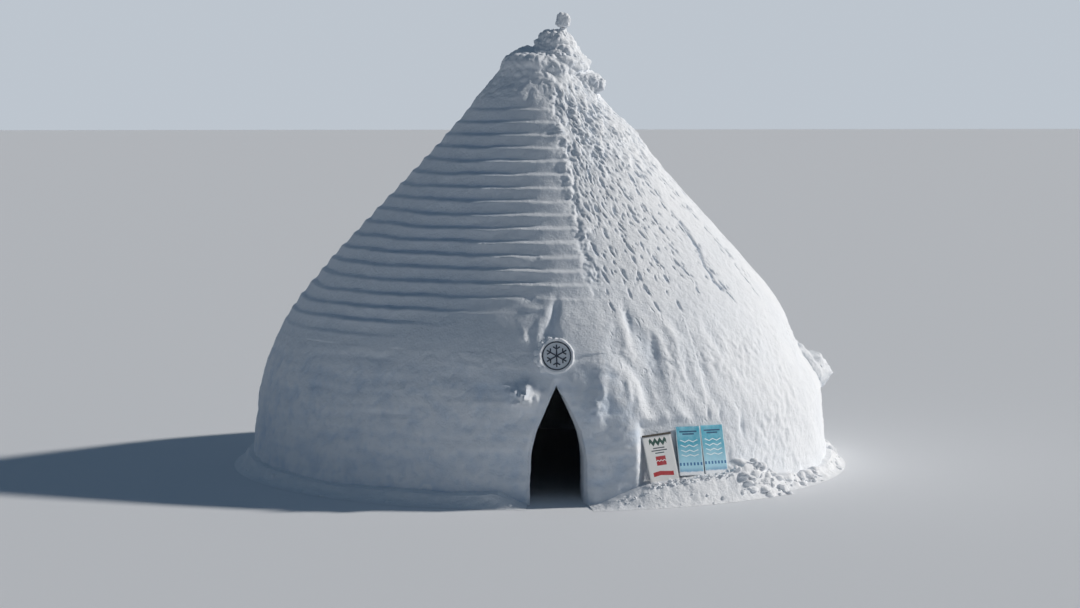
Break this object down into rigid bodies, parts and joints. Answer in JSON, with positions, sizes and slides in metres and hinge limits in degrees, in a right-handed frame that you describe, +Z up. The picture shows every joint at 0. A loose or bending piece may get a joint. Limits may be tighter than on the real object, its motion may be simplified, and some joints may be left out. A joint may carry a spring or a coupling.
{
  "type": "giant cone-topped snow igloo",
  "caption": "Giant igloo of packed snow: steep round base wall, stepped cone of ridged courses, knob and finial, pointed doorway with a round boss over it, three leaning boards.",
  "frame": {"origin": "on the ground, on the axis of the dome", "axes": "+Z up along the axis of the dome; -Y out through the doorway; +X to the right of someone facing the doorway"},
  "size_m": [16.2598, 16.4807, 11.9277],
  "materials": {
    "packed_snow": "packed snow, matte and slightly grainy",
    "dark_trim": "dark matte trim",
    "white_board": "printed board, matte",
    "dark_batten": "dark painted batten",
    "blue_board": "printed board, matte"
  },
  "bodies": {
    "root": {"wall_front_right": "packed_snow", "wall_right": "packed_snow", "wall_back_right": "packed_snow", "wall_back_left": "packed_snow", "wall_left": "packed_snow", "wall_front_left": "packed_snow", "doorway_jamb_right": "packed_snow", "doorway_jamb_left": "packed_snow", "course_01": "packed_snow", "course_02": "packed_snow", "course_03": "packed_snow", "course_04": "packed_snow", "course_05": "packed_snow", "course_06": "packed_snow", "course_07": "packed_snow", "course_08": "packed_snow", "course_09": "packed_snow", "course_10": "packed_snow", "course_11": "packed_snow", "course_12": "packed_snow", "course_13": "packed_snow", "course_14": "packed_snow", "course_15": "packed_snow", "course_16": "packed_snow", "course_17": "packed_snow", "course_18": "packed_snow", "course_19": "packed_snow", "course_20": "packed_snow", "course_21": "packed_snow", "crown_cap": "packed_snow", "crown_knob": "packed_snow", "finial_block": "packed_snow", "finial_neck": "packed_snow", "snow_cornice": "packed_snow", "shoulder_clump": "packed_snow", "plaque_boss": "packed_snow", "foot_bank_left": "packed_snow", "foot_bank_right": "packed_snow", "board_bank": "packed_snow", "plaque_ring": "dark_trim", "plaque_crystal": "dark_trim", "white_board": "white_board", "white_board_batten": "dark_batten", "blue_board_left": "blue_board", "blue_board_right": "blue_board"}
  },
  "joints": []
}
